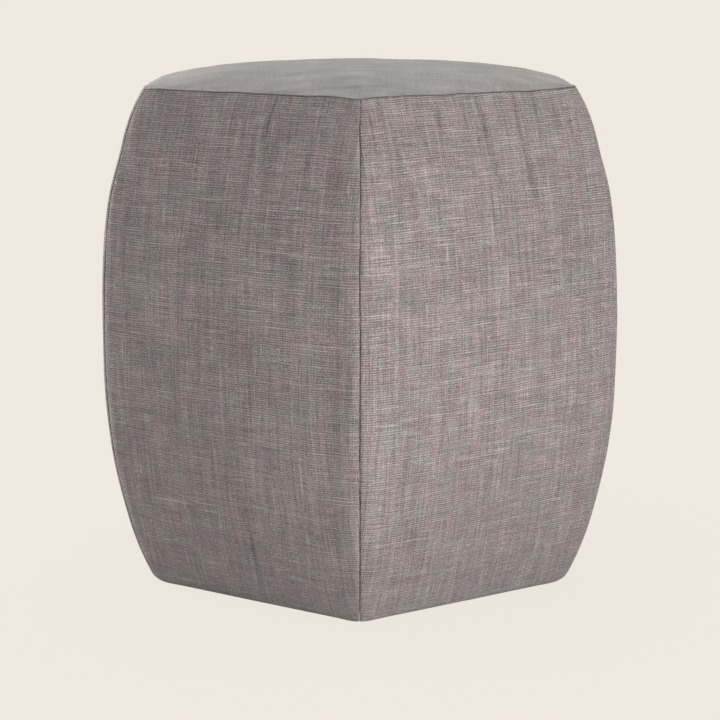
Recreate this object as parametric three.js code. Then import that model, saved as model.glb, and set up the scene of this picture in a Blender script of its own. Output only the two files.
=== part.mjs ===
// Hexagonal ottoman: a padded footstool with six barrel-shaped linen sides, a crowned top and a flat
// underside. Millimetres, +Z up. The origin is the middle of the underside, and a corner faces -Y.
import * as THREE from "three";
import { mergeVertices } from "three/addons/utils/BufferGeometryUtils.js";

// ---- Driving dimensions -------------------------------------------------------------------------

const SIDES = 6;
const SEAM_HEIGHT = 430; // floor to the seam round the top
const TOTAL_HEIGHT = 445; // floor to the highest point of the crowned top
const PIECE_GAP = 0.3; // clearance between neighbouring pieces

// Side of the body from the floor up. corner: distance from the axis to the sharp corner of the
// hexagon. fullness: how far the padding swells past the flat of the panel, half way between seams.
// drawnIn: how far the corner seam lies inside the sharp corner.
const SIDE_PROFILE = [
  { height: 0, corner: 206, fullness: 0.5, drawnIn: 2.2 },
  { height: 20, corner: 217, fullness: 2, drawnIn: 3.5 },
  { height: 45, corner: 226.5, fullness: 3.5, drawnIn: 5 },
  { height: 75, corner: 235, fullness: 4.5, drawnIn: 5.5 },
  { height: 110, corner: 243, fullness: 5, drawnIn: 5.5 },
  { height: 145, corner: 247.5, fullness: 5, drawnIn: 5.5 },
  { height: 180, corner: 250, fullness: 5, drawnIn: 5.5 },
  { height: 215, corner: 250.5, fullness: 5, drawnIn: 5.5 },
  { height: 250, corner: 250, fullness: 5, drawnIn: 5.5 },
  { height: 285, corner: 248, fullness: 4.8, drawnIn: 5.5 },
  { height: 315, corner: 245.5, fullness: 4.5, drawnIn: 5.5 },
  { height: 345, corner: 241, fullness: 3.5, drawnIn: 5.5 },
  { height: 375, corner: 232, fullness: 2.5, drawnIn: 5 },
  { height: 400, corner: 224.5, fullness: 1.5, drawnIn: 4 },
  { height: 418, corner: 216.5, fullness: 0.7, drawnIn: 3 },
  { height: SEAM_HEIGHT, corner: 208, fullness: 0, drawnIn: 2.5 },
];

// A corner seam is drawn in by a narrow rounded shoulder on each side of it, and by a wide hollow.
const SHOULDER_SHARE = 0.73; // share of the drawing in that the shoulder takes up
const SHOULDER_REACH = 16; // distance from the seam over which the shoulder turns
const HOLLOW_REACH = 42; // distance from the seam over which the wide hollow runs out

const FLOOR_ROLL = 9; // radius on which the side rolls under at the floor
const SEAM_TUCK = 1.4; // how far the cloth is drawn in at the top seam
const SEAM_TUCK_REACH = 4; // distance from the top seam over which it is drawn in

const CORNER_DIP = 2; // how far the top seam dips at each corner
const CORNER_DIP_REACH = 30; // distance from the corner over which it dips
const CORNER_DIP_FADE = 12; // higher keeps the dip closer to the top seam

const CROWN_LIP = 0.8; // height of the rounded edge of the top above its seam
const CROWN_FLATNESS = 4.3; // higher is flatter in the middle and steeper at the edge
const CROWN_EASE = 1.18; // higher is gentler where the crown meets the edge
const CROWN_SQUARING = 2; // higher keeps the rings of the crown round closer to the edge

const BASE_INSET = 30; // from the corner of the body to the corner of the base cloth
const BASE_THICKNESS = 2;

const BODY_ROWS = 20; // rows of faces up a side between the floor roll and the top seam
const ROLL_ROWS = 3; // rows round the floor roll
const TUCK_ROWS = 3; // rows in the drawn-in edge below and above the top seam
const PANEL_COLUMNS = 16; // columns of faces across a side
const COLUMN_CROWDING = 1.8; // higher crowds the columns closer to the seams
const CROWN_RINGS = 11; // rings of faces from the middle of the top to its edge

const LINEN_COLOUR = 0x948a88;
const BASE_CLOTH_COLOUR = 0x4a4543;

// ---- Shape of one side --------------------------------------------------------------------------

const QUARTER_TURN = Math.PI / 2;
const HALF_SECTOR = Math.PI / SIDES;
const HALF_GAP = PIECE_GAP / 2;

const profileAt = new THREE.CubicInterpolant(
  SIDE_PROFILE.map((row) => row.height),
  SIDE_PROFILE.flatMap((row) => [row.corner, row.fullness, row.drawnIn]),
  3,
);

/** Places across a panel from -1 at one seam to 1 at the next, closer together near the seams. */
const ACROSS = Array.from({ length: PANEL_COLUMNS + 1 }, (_, i) => {
  const even = (2 * i) / PANEL_COLUMNS - 1;
  return Math.sign(even) * (1 - (1 - Math.abs(even)) ** COLUMN_CROWDING);
});

/** How far a surface is drawn in at a distance from a seam. */
function tuck(depth, reach, distance, power = 2) {
  return depth * Math.max(0, 1 - distance / reach) ** power;
}

/**
 * How far a point at a place across a panel lies lower because the top seam dips at the corner.
 * nearness is 1 at the top seam and falls to 0 away from it.
 */
function cornerDip(across, nearness) {
  const halfWidth = profileAt.evaluate(SEAM_HEIGHT)[0] * Math.sin(HALF_SECTOR);
  const toCorner = (1 - Math.abs(across)) * halfWidth;
  return tuck(CORNER_DIP, CORNER_DIP_REACH, toCorner) * nearness ** CORNER_DIP_FADE;
}

/**
 * A point of a side, with x out through the middle of the panel and y along it.
 * inset draws the whole hexagon in by that much.
 */
function sidePoint(height, across, inset) {
  const [corner, fullness, drawnIn] = profileAt.evaluate(height);
  const reach = corner - inset / Math.cos(HALF_SECTOR);
  const halfWidth = reach * Math.sin(HALF_SECTOR);
  const toSeam = (1 - Math.abs(across)) * halfWidth;
  const flat = reach * Math.cos(HALF_SECTOR);
  const out = flat + fullness * (1 - across * across);
  const point = new THREE.Vector2(out, across * halfWidth);
  const shoulder = tuck(SHOULDER_SHARE * drawnIn, SHOULDER_REACH, toSeam, 3);
  const hollow = tuck((1 - SHOULDER_SHARE) * drawnIn, HOLLOW_REACH, toSeam);
  return point.setLength(point.length() - shoulder - hollow);
}

/** Moves a point of a panel's seam edge half the gap off the plane through the corner. */
function clearOfSeam(point, across) {
  const side = Math.sign(across);
  const clearance = new THREE.Vector2(Math.sin(HALF_SECTOR), -side * Math.cos(HALF_SECTOR));
  return point.addScaledVector(clearance, HALF_GAP);
}

/** Heights up a side with the inset at each: the floor roll, the body, then the edge at the seam. */
function sideRows() {
  const rows = [];
  for (let i = 0; i < ROLL_ROWS; i++) {
    const angle = (QUARTER_TURN * i) / ROLL_ROWS;
    const height = FLOOR_ROLL * (1 - Math.cos(angle));
    rows.push({ height, inset: FLOOR_ROLL * (1 - Math.sin(angle)) });
  }
  const highest = SEAM_HEIGHT - SEAM_TUCK_REACH;
  for (let i = 0; i <= BODY_ROWS; i++) {
    const height = THREE.MathUtils.lerp(FLOOR_ROLL, highest, i / BODY_ROWS);
    rows.push({ height, inset: 0 });
  }
  for (let i = 1; i <= TUCK_ROWS; i++) {
    const toSeam = SEAM_TUCK_REACH * (1 - i / TUCK_ROWS);
    const height = Math.min(SEAM_HEIGHT - toSeam, SEAM_HEIGHT - HALF_GAP);
    rows.push({ height, inset: tuck(SEAM_TUCK, SEAM_TUCK_REACH, toSeam) });
  }
  return rows;
}

// ---- Solids swept through loops of points -------------------------------------------------------

/** Triangles that fill the plane loop of points, which starts at the given vertex number. */
function capTriangles(loop, first, flip) {
  const contour = loop.map((p) => new THREE.Vector2(Math.hypot(p.x, p.y), p.z));
  const anticlockwise = !THREE.ShapeUtils.isClockWise(contour);
  return THREE.ShapeUtils.triangulateShape(contour, []).flatMap((face) => {
    const faceAnticlockwise = !THREE.ShapeUtils.isClockWise(face.map((i) => contour[i]));
    const [a, b, c] = face.map((i) => first + i);
    return (faceAnticlockwise === anticlockwise) !== flip ? [a, b, c] : [a, c, b];
  });
}

/** Closed solid through loops of equal length. A ring joins up with itself, and else it is capped. */
function sweptSolid(loops, isRing) {
  const size = loops[0].length;
  const index = [];
  const spans = isRing ? loops.length : loops.length - 1;
  for (let i = 0; i < spans; i++) {
    const here = i * size;
    const next = ((i + 1) % loops.length) * size;
    for (let j = 0; j < size; j++) {
      const k = (j + 1) % size;
      index.push(here + j, next + j, next + k, here + j, next + k, here + k);
    }
  }
  if (!isRing) {
    const last = loops.length - 1;
    index.push(...capTriangles(loops[0], 0, false));
    index.push(...capTriangles(loops[last], last * size, true));
  }
  const points = loops.flat().flatMap((p) => [p.x, p.y, p.z]);
  const geometry = new THREE.BufferGeometry();
  geometry.setAttribute("position", new THREE.Float32BufferAttribute(points, 3));
  geometry.setIndex(index);
  return withoutSlivers(mergeVertices(geometry));
}

/** Drops the triangles that merging has shrunk to a line or a point. */
function withoutSlivers(geometry) {
  const old = geometry.getIndex().array;
  const index = [];
  for (let i = 0; i < old.length; i += 3) {
    const [a, b, c] = old.slice(i, i + 3);
    if (a !== b && b !== c && c !== a) index.push(a, b, c);
  }
  geometry.setIndex(index);
  geometry.computeVertexNormals();
  return geometry;
}

// ---- The pieces ---------------------------------------------------------------------------------

/** Corner and thickness of the hollow under the side panels that holds the base cloth. */
const RECESS_CORNER = SIDE_PROFILE[0].corner - BASE_INSET;
const RECESS_HEIGHT = BASE_THICKNESS + PIECE_GAP;

/** One padded side: the barrel-shaped face and its sixth of the filling, in to the axis. */
function sidePanelSolid() {
  const rows = sideRows();
  const recess = new THREE.Vector2(RECESS_CORNER * Math.cos(HALF_SECTOR), 0);
  const tip = new THREE.Vector2(HALF_GAP / Math.sin(HALF_SECTOR), 0);
  const loops = ACROSS.map((across) => {
    const atSeam = Math.abs(across) === 1;
    const settle = (point) => (atSeam ? clearOfSeam(point, across) : point);
    const recessEdge = recess.clone();
    recessEdge.y = across * RECESS_CORNER * Math.sin(HALF_SECTOR);
    settle(recessEdge);
    const face = rows.map(({ height, inset }) => {
      const { x, y } = settle(sidePoint(height, across, inset));
      return new THREE.Vector3(x, y, height - cornerDip(across, height / SEAM_HEIGHT));
    });
    return [
      new THREE.Vector3(tip.x, tip.y, RECESS_HEIGHT),
      new THREE.Vector3(recessEdge.x, recessEdge.y, RECESS_HEIGHT),
      new THREE.Vector3(recessEdge.x, recessEdge.y, 0),
      ...face,
      new THREE.Vector3(tip.x, tip.y, SEAM_HEIGHT - HALF_GAP),
    ];
  });
  return sweptSolid(loops, false);
}

/** Points right round the top seam, each with its place across its own panel. */
function roundTheSeam() {
  const axis = new THREE.Vector2();
  const places = ACROSS.slice(0, -1);
  const turns = Array.from({ length: SIDES }, (_, i) => 2 * i * HALF_SECTOR);
  return turns.flatMap((turn) =>
    places.map((across) => ({
      across,
      rim: sidePoint(SEAM_HEIGHT, across, 0).rotateAround(axis, turn),
    })),
  );
}

/**
 * Padded top: a crowned upper face on a narrow rounded edge, flat where it meets the filling. Its
 * rings are round in the middle and turn hexagonal towards the edge, so no ridges run to the corners.
 */
function topPanelSolid() {
  const underside = SEAM_HEIGHT + HALF_GAP;
  const lipHeight = SEAM_HEIGHT + CROWN_LIP;
  const roundRadius = sidePoint(SEAM_HEIGHT, 0, 0).x;
  const loops = roundTheSeam().map(({ across, rim }) => {
    const hexagonRadius = rim.length();
    const at = (part, height) => {
      const squareness = part ** CROWN_SQUARING;
      const ringRadius = part * THREE.MathUtils.lerp(roundRadius, hexagonRadius, squareness);
      const { x, y } = rim.clone().setLength(ringRadius);
      return new THREE.Vector3(x, y, height - cornerDip(across, Math.min(part, 1)));
    };
    const drawnIn = (amount) => 1 - amount / hexagonRadius;
    const loop = [new THREE.Vector3(0, 0, underside)];
    for (let i = 0; i < TUCK_ROWS; i++) {
      const toSeam = (CROWN_LIP * i) / TUCK_ROWS;
      const height = Math.max(SEAM_HEIGHT + toSeam, underside);
      loop.push(at(drawnIn(tuck(SEAM_TUCK, CROWN_LIP, toSeam)), height));
    }
    for (let i = CROWN_RINGS; i > 0; i--) {
      const part = Math.sin((QUARTER_TURN * i) / CROWN_RINGS);
      const rise = (1 - part ** CROWN_FLATNESS) ** CROWN_EASE;
      loop.push(at(part, THREE.MathUtils.lerp(lipHeight, TOTAL_HEIGHT, rise)));
    }
    loop.push(new THREE.Vector3(0, 0, TOTAL_HEIGHT));
    return loop;
  });
  return sweptSolid(loops, true);
}

/** Flat cloth that closes the underside, let in flush between the side panels. */
function basePanelSolid() {
  const flat = RECESS_CORNER * Math.cos(HALF_SECTOR) - PIECE_GAP;
  const edge = Array.from({ length: SIDES }, (_, i) => {
    const corner = new THREE.Vector2(flat / Math.cos(HALF_SECTOR), 0);
    return corner.rotateAround(new THREE.Vector2(), (2 * i + 1) * HALF_SECTOR);
  });
  const loops = edge.map(({ x, y }) => [
    new THREE.Vector3(0, 0, 0),
    new THREE.Vector3(x, y, 0),
    new THREE.Vector3(x, y, BASE_THICKNESS),
    new THREE.Vector3(0, 0, BASE_THICKNESS),
  ]);
  return sweptSolid(loops, true);
}

// ---- Assembly -----------------------------------------------------------------------------------

/** Matt cloth of one colour. */
function cloth(colour) {
  return new THREE.MeshStandardMaterial({ color: colour, roughness: 0.92, metalness: 0 });
}

/** A named mesh of one piece. */
function piece(name, geometry, colour) {
  const mesh = new THREE.Mesh(geometry, cloth(colour));
  mesh.name = name;
  return mesh;
}

const ottoman = new THREE.Group();

const sideGeometry = sidePanelSolid();
for (let i = 0; i < SIDES; i++) {
  const panel = piece(`side_panel_${i + 1}`, sideGeometry, LINEN_COLOUR);
  panel.rotation.z = (2 * i + 1) * HALF_SECTOR - QUARTER_TURN;
  ottoman.add(panel);
}
ottoman.add(piece("top_panel", topPanelSolid(), LINEN_COLOUR));
ottoman.add(piece("base_panel", basePanelSolid(), BASE_CLOTH_COLOUR));

export default ottoman;
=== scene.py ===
"""Hexagonal ottoman in slubbed linen: six barrel-shaped padded sides, a crowned top and a flat base.

Metres, +Z up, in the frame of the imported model. A corner seam faces -Y, towards the camera.
"""

import logging
import math
from collections.abc import Iterator, Sequence
from contextlib import contextmanager
from dataclasses import dataclass, replace

import bpy
import numpy as np
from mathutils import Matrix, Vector


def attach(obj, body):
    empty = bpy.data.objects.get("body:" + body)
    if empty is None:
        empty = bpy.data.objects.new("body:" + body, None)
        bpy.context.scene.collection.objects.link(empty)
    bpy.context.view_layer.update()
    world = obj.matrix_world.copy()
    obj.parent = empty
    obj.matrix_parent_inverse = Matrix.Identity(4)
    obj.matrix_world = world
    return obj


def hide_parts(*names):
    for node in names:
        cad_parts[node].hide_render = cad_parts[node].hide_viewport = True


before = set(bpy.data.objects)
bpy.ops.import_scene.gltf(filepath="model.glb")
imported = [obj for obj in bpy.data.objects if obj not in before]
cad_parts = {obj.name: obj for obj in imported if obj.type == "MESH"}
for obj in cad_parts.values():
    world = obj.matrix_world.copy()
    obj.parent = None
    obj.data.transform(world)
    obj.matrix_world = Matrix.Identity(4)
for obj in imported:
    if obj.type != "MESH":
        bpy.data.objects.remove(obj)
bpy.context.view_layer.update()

LOG = logging.getLogger("ottoman")
MM = 0.001
SIDES = 6
HALF_SECTOR = math.pi / SIDES
SECTOR = 2 * HALF_SECTOR
COS_HALF = math.cos(HALF_SECTOR)
SIN_HALF = math.sin(HALF_SECTOR)
FULL_TURN = 2 * math.pi
WELD = 0.02 * MM
TINY = 0.001 * MM
REFINEMENT = 2
SETTLE_FRAMES = 20
CREASE_START_WIDTH = 0.7
CREASE_WIDENING = 0.6
CREASE_LIP_DEPTH = 0.35
CREASE_LIP_WIDTH = 2.2
WEAVE_MAP = "weave"
# Attribute of fold relief, which the cloth reads to paint shade in troughs and light on ridges.
PAINTED_SHADE_FOLD = "fold"
Array = np.ndarray
Piece = bpy.types.Object
Socket = bpy.types.NodeSocket
Rgb = tuple[float, float, float]


def linear(red: int, green: int, blue: int) -> Rgb:
    """Linear colour of a display colour.

    Args:
        red: red from 0 to 255.
        green: green from 0 to 255.
        blue: blue from 0 to 255.

    Returns:
        The three linear values from 0 to 1.
    """

    def channel(value: int) -> float:
        """One channel of the display curve, undone."""
        part = value / 255
        return part / 12.92 if part <= 0.04045 else ((part + 0.055) / 1.055) ** 2.4

    return channel(red), channel(green), channel(blue)


def waves(place: Array, lengths: Sequence[float], phases: Sequence[float | Array]) -> Array:
    """Sum of a few waves, of which the longer ones are higher.

    Args:
        place: places along the waves, in metres.
        lengths: length of each wave in metres, the longest first.
        phases: where each wave starts, in radians.

    Returns:
        The sum at each place, in which the longest wave is 0.5 high.
    """
    total = np.zeros_like(place)
    for length, phase in zip(lengths, phases):
        total += math.sqrt(length / lengths[0]) * np.sin(FULL_TURN * place / length + phase)
    return 0.5 * total


# ---- Shape of the body ---------------------------------------------------------------------------


@dataclass(frozen=True)
class Station:
    """Shape of the side at one height, in millimetres.

    corner is the distance from the axis to the sharp corner of the hexagon. fullness is how far the
    padding swells past the flat of the panel half way between seams. shoulder is how far the tight
    round beside a corner seam draws it inside the sharp corner.
    """

    height: float
    corner: float
    fullness: float
    shoulder: float


@dataclass(frozen=True)
class Corner:
    """How one corner of the top seam is pulled, in millimetres.

    It is pulled towards the axis and down, and the pull runs out over a distance along the seam.
    The seam below it is a tight one, or with soft 1 a soft round one.
    """

    inward: float
    down: float
    reach: float = 26.0
    soft: float = 0.0


@dataclass(frozen=True)
class BodyShape:
    """Sizes of the padded body that its pieces share, in metres unless a name says otherwise.

    Corners are numbered from the one towards the camera, anticlockwise from above.
    """

    seam_height: float = 430 * MM
    total_height: float = 443.3 * MM
    half_gap: float = 0.15 * MM
    floor_roll: float = 9 * MM
    recess_corner: float = 176 * MM
    recess_height: float = 2.3 * MM
    shoulder_reach: float = 9 * MM
    ridge_height: float = 0.8 * MM
    ridge_place: float = 11 * MM
    ridge_width: float = 7 * MM
    ridge_fade: float = 40 * MM
    seam_round: float = 1.2 * MM
    top_seam_round: float = 1.1 * MM
    corner_fade: int = 12
    sway: float = 0.3 * MM
    sway_reach: float = 14 * MM
    sway_lengths: tuple[float, ...] = (140 * MM, 67 * MM, 36 * MM)
    sway_top_fade: float = 30 * MM
    sway_foot: float = 5 * MM
    sway_foot_fade: float = 15 * MM
    sway_seed: int = 300
    wander: float = 0.45 * MM
    wander_lengths: tuple[float, ...] = (83 * MM, 41 * MM, 27 * MM)
    wander_fade: float = 18 * MM
    wander_seed: int = 500
    soft_round: float = 2.4 * MM
    soft_seam: float = 0.2 * MM
    soft_out: float = 0.8 * MM
    soft_reach: float = 22 * MM
    soft_shut: float = 0.12 * MM
    soft_fade: float = 25 * MM
    stations: tuple[Station, ...] = (
        Station(0, 205.8, 0.5, 2),
        Station(20, 215.2, 2, 2.3),
        Station(45, 224.7, 3.5, 2.6),
        Station(75, 233.2, 4.5, 2.6),
        Station(110, 241.2, 5, 2.6),
        Station(145, 245.7, 5, 2.6),
        Station(180, 248.2, 5, 2.6),
        Station(215, 248.7, 5, 2.6),
        Station(250, 248.2, 5, 2.6),
        Station(285, 246.2, 4.8, 2.6),
        Station(315, 243.7, 4.5, 2.6),
        Station(345, 239.2, 3.5, 2.6),
        Station(375, 230.2, 2.5, 2.6),
        Station(400, 222.7, 1.5, 2.6),
        Station(418, 215.2, 0.7, 2.4),
        Station(430, 208, 0, 2.2),
    )
    corners: tuple[Corner, ...] = (
        Corner(0.0, 1.5),
        Corner(1.2, -1.6, 58.0, soft=1.0),
        Corner(2.5, 6.0, 75.0),
        Corner(1.0, 2.0),
        Corner(2.5, 6.0, 70.0),
        Corner(2.0, 0.9, soft=1.0),
    )

    @property
    def top_corner(self) -> float:
        """Distance from the axis to the sharp corner at the top seam."""
        return self.stations[-1].corner * MM

    def corner(self, height: Array) -> Array:
        """Distance from the axis to the sharp corner at each height."""
        return self._through([s.corner for s in self.stations], height)

    def fullness(self, height: Array) -> Array:
        """Swell of the padding at the middle of a panel at each height."""
        return self._through([s.fullness for s in self.stations], height)

    def shoulder(self, height: Array) -> Array:
        """How far the round beside a corner seam draws it in at each height."""
        return self._through([s.shoulder for s in self.stations], height)

    def _through(self, values: Sequence[float], height: Array) -> Array:
        """Smooth curve through the stations.

        Args:
            values: one value in millimetres for each station.
            height: heights in metres.

        Returns:
            The value at each height, in metres.
        """
        x = np.array([s.height for s in self.stations]) * MM
        y = np.array(values) * MM
        slope = np.gradient(y, x)
        i = np.clip(np.searchsorted(x, height) - 1, 0, len(x) - 2)
        span = x[i + 1] - x[i]
        t = np.clip((height - x[i]) / span, 0, 1)
        rise = y[i + 1] - y[i]
        start = slope[i] * span - rise
        end = rise - slope[i + 1] * span
        return y[i] + t * rise + t * (1 - t) * (start * (1 - t) + end * t)

    def seam_pull(self, height: Array, distance: Array) -> Array:
        """How far the cloth is drawn in beside a corner seam.

        A tight shoulder turns down to the seam, and the seam allowance inside lifts a soft ridge.

        Args:
            height: heights in metres.
            distance: distance from the seam, in metres.

        Returns:
            The move towards the axis, in metres.
        """
        turn = self.shoulder(height) * np.clip(1 - distance / self.shoulder_reach, 0, 1) ** 3
        ridge = np.exp(-(((distance - self.ridge_place) / self.ridge_width) ** 2))
        fade = np.clip((self.seam_height - height) / self.ridge_fade, 0, 1)
        return turn - self.ridge_height * fade * ridge + self.seam_dip(distance)

    def corner_pull(self, corner: Array, distance: Array, nearness: Array) -> tuple[Array, Array]:
        """How far the top seam's own corners pull the cloth.

        Args:
            corner: number of the nearest corner.
            distance: distance from that corner along the seam.
            nearness: 1 at the top seam, falling to 0 away from it.

        Returns:
            The pull towards the axis and the pull down, in metres.
        """
        inward, down, reach = (
            np.array([getattr(c, name) for c in self.corners])[corner] * MM
            for name in ("inward", "down", "reach")
        )
        share = np.clip(1 - distance / reach, 0, 1) ** 2 * nearness**self.corner_fade
        return inward * share, down * share

    def seam_sway(self, corner: int, height: Array, distance: Array) -> Array:
        """How far a corner seam wanders sideways, anticlockwise from above.

        Args:
            corner: number of the corner.
            height: heights in metres.
            distance: distance from the seam, in metres.

        Returns:
            The sideways move in metres, none at the ends of the seam.
        """
        dice = np.random.default_rng(self.sway_seed + corner)
        phases = [dice.uniform(0, FULL_TURN) for _ in self.sway_lengths]
        ends = np.clip((self.seam_height - height) / self.sway_top_fade, 0, 1)
        ends = ends * np.clip((height - self.sway_foot) / self.sway_foot_fade, 0, 1)
        near = np.clip(1 - distance / self.sway_reach, 0, 1) ** 2
        return self.sway * waves(height, self.sway_lengths, phases) * ends * near

    def seam_wander(self, side: Array | int, along: Array, near: Array) -> Array:
        """How far the top seam wanders down.

        Args:
            side: number of the side, from 0 for the first anticlockwise of the camera.
            along: distance from the middle of the side, in metres.
            near: 1 at the top seam, falling to 0 away from it.

        Returns:
            The move down in metres, none at the corners.
        """
        phases = [
            np.random.default_rng(self.wander_seed + number).uniform(0, FULL_TURN, SIDES)[side]
            for number in range(len(self.wander_lengths))
        ]
        ends = np.clip((self.top_corner * SIN_HALF - np.abs(along)) / self.wander_fade, 0, 1)
        total = waves(along, self.wander_lengths, phases)
        return self.wander * total * ends * near**self.corner_fade

    def soften(self, corner: Array, height: Array, distance: Array) -> Array:
        """How far further out the cloth lies beside a soft corner seam than beside a tight one.

        Args:
            corner: number of the nearest corner.
            height: heights in metres.
            distance: distance from the seam, in metres.

        Returns:
            The move away from the axis, in metres.
        """
        soft = np.array([c.soft for c in self.corners])[corner]
        left = np.clip(1 - distance / self.shoulder_reach, 0, 1)
        pull = self.soft_round * left**2 + self.roll(distance, self.soft_seam)
        pull -= self.soft_out * np.exp(-((distance / self.soft_reach) ** 2))
        fade = np.clip((self.seam_height - height) / self.soft_fade, 0, 1)
        fade = fade * np.clip(height / self.soft_fade, 0, 1)
        return soft * fade * (self.seam_pull(height, distance) - pull)

    def seam_dip(self, distance: Array) -> Array:
        """Depth of the tight round on which cloth turns into a corner seam."""
        return self.roll(distance, self.seam_round)

    @staticmethod
    def roll(distance: Array, radius: float) -> Array:
        """Depth of a quarter round at each distance from where it ends."""
        part = np.clip(1 - distance / radius, 0, 1)
        return radius * (1 - np.sqrt(1 - part * part))


@dataclass(frozen=True)
class Crease:
    """A shallow trough or ridge pressed into a panel, in millimetres on the flat of the cloth.

    Its ends are (across, up): across from the middle of the panel, to the right as seen from
    outside, and up from the floor. depth is positive for a trough and negative for a ridge. bow
    moves its middle sideways, to the right when looking from start to end. It widens from its
    start to its end.
    """

    start: tuple[float, float]
    end: tuple[float, float]
    width: float
    depth: float
    bow: float = 0.0

    def relief(self, across: Array, up: Array) -> Array:
        """Outward move of the cloth at each place: a trough with a low lip on either side.

        Args:
            across: places across the panel, in millimetres.
            up: places up the panel, in millimetres.

        Returns:
            The move in metres, negative for a trough.
        """
        run = np.array(self.end, float) - np.array(self.start, float)
        length = float(np.hypot(*run))
        along = run / length
        x = across - self.start[0]
        y = up - self.start[1]
        part = (x * along[0] + y * along[1]) / length
        off = x * along[1] - y * along[0] - self.bow * 4 * part * (1 - part)
        fade = np.clip(part, 0, 1)
        strength = np.sqrt(np.clip(4 * fade * (1 - fade), 0, 1))
        spread = self.width * (CREASE_START_WIDTH + CREASE_WIDENING * fade)
        lip = CREASE_LIP_DEPTH * np.exp(-((off / (CREASE_LIP_WIDTH * spread)) ** 2))
        return -self.depth * MM * strength * (np.exp(-((off / spread) ** 2)) - lip)


@dataclass(frozen=True)
class Drape:
    """How the cloth of one side lies: its creases, its tilt off the level and its lift at an edge.

    tilt is in degrees. lift_left and lift_right are how far the threads rise beside that seam at
    the floor, in millimetres. They rise less higher up and further from the seam, and not at all
    above lift_top or past lift_reach.
    """

    creases: tuple[Crease, ...] = ()
    tilt: float = 0.0
    lift_left: float = 0.0
    lift_right: float = 0.0
    lift_reach: float = 42.0
    lift_top: float = 400.0

    def thread_lift(self, across: Array, height: Array, width: Array) -> Array:
        """How far the threads of a side have risen at each place.

        Args:
            across: distance from the middle of the panel, in metres.
            height: heights in metres.
            width: distance from the middle of the panel to its seams, in metres.

        Returns:
            The rise in metres.
        """
        lift = across * math.tan(math.radians(self.tilt))
        low = np.clip(1 - height / (self.lift_top * MM), 0, 1)
        for most, edge in ((self.lift_left, width + across), (self.lift_right, width - across)):
            near = np.clip(1 - edge / (self.lift_reach * MM), 0, 1) ** 2
            lift = lift + most * MM * low * near
        return lift


@dataclass(frozen=True)
class Undulation:
    """Slow unevenness of padding: a few crossing waves with seeded directions."""

    seed: int
    height: float = 0.35 * MM
    waves: int = 14
    shortest: float = 28 * MM
    longest: float = 120 * MM

    def relief(self, x: Array, y: Array) -> Array:
        """Outward move at each place.

        Args:
            x: places one way on the cloth, in metres.
            y: places the other way, in metres.

        Returns:
            The move in metres.
        """
        dice = np.random.default_rng(self.seed)
        total = np.zeros_like(x)
        for _ in range(self.waves):
            length = dice.uniform(self.shortest, self.longest)
            angle = dice.uniform(0, math.pi)
            phase = dice.uniform(0, FULL_TURN)
            along = x * math.cos(angle) + y * math.sin(angle)
            total += np.sin(FULL_TURN * along / length + phase) * length / self.longest
        return self.height * total / math.sqrt(self.waves)


# ---- Mesh work -----------------------------------------------------------------------------------


def only(piece: Piece) -> None:
    """Selects one object alone and makes it active.

    Args:
        piece: the object.
    """
    bpy.ops.object.select_all(action="DESELECT")
    piece.select_set(True)
    bpy.context.view_layer.objects.active = piece


@contextmanager
def edit_mode() -> Iterator[None]:
    """Edit mode of the active object, for as long as the block under it.

    Yields:
        Nothing, once, when edit mode has started.
    """
    bpy.ops.object.mode_set(mode="EDIT")
    yield
    bpy.ops.object.mode_set(mode="OBJECT")


def select_open_edge() -> None:
    """Selects the open edge of the mesh in edit mode."""
    bpy.ops.mesh.select_all(action="DESELECT")
    bpy.ops.mesh.select_non_manifold(extend=False, use_boundary=True)


def turn_outwards() -> None:
    """Points all faces of the mesh in edit mode outwards."""
    bpy.ops.mesh.select_all(action="SELECT")
    bpy.ops.mesh.normals_make_consistent(inside=False)


def read(items: bpy.types.bpy_prop_collection, name: str, width: int, kind: type) -> Array:
    """One property of every item of a mesh.

    Args:
        items: the vertices, loops or other items.
        name: name of the property.
        width: how many numbers it has.
        kind: type of the numbers.

    Returns:
        One number for each item, or one row of them.
    """
    flat = np.empty(len(items) * width, kind)
    items.foreach_get(name, flat)
    return flat if width == 1 else flat.reshape(-1, width)


def points_of(piece: Piece) -> Array:
    """Vertex positions of a piece, one row each."""
    return read(piece.data.vertices, "co", 3, float)


def normals_of(piece: Piece) -> Array:
    """Vertex normals of a piece, one row each."""
    return read(piece.data.vertex_normals, "vector", 3, float)


def chosen_of(piece: Piece) -> Array:
    """Whether each vertex of a piece is selected."""
    return read(piece.data.vertices, "select", 1, bool)


def move_points(piece: Piece, points: Array) -> None:
    """Puts the vertices of a piece at new positions."""
    piece.data.vertices.foreach_set("co", np.ascontiguousarray(points).ravel())
    piece.data.update()


def draw_in(points: Array, pull: Array) -> None:
    """Moves points towards the Z axis, each by its own pull in metres."""
    radius = np.hypot(points[:, 0], points[:, 1])
    points[:, :2] *= ((radius - pull) / radius)[:, None]


def turned(points: Array, angle: float) -> Array:
    """Points turned about the Z axis.

    Args:
        points: one row for each point.
        angle: the turn in radians, anticlockwise from above.

    Returns:
        The turned points.
    """
    cosine, sine = math.cos(angle), math.sin(angle)
    x, y, z = points.T
    return np.column_stack([x * cosine - y * sine, x * sine + y * cosine, z])


def set_cloth_map(piece: Piece, across: Array, up: Array) -> None:
    """Writes the cloth map of a piece, as its only map.

    Args:
        piece: the piece.
        across: place of each vertex across the flat cloth, in metres.
        up: place of each vertex up the flat cloth, in metres.
    """
    layer = piece.data.uv_layers.get(WEAVE_MAP) or piece.data.uv_layers.new(name=WEAVE_MAP)
    corner = read(piece.data.loops, "vertex_index", 1, int)
    layer.data.foreach_set("uv", np.column_stack([across[corner], up[corner]]).ravel())
    for other in [m for m in piece.data.uv_layers if m.name != WEAVE_MAP]:
        piece.data.uv_layers.remove(other)


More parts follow.
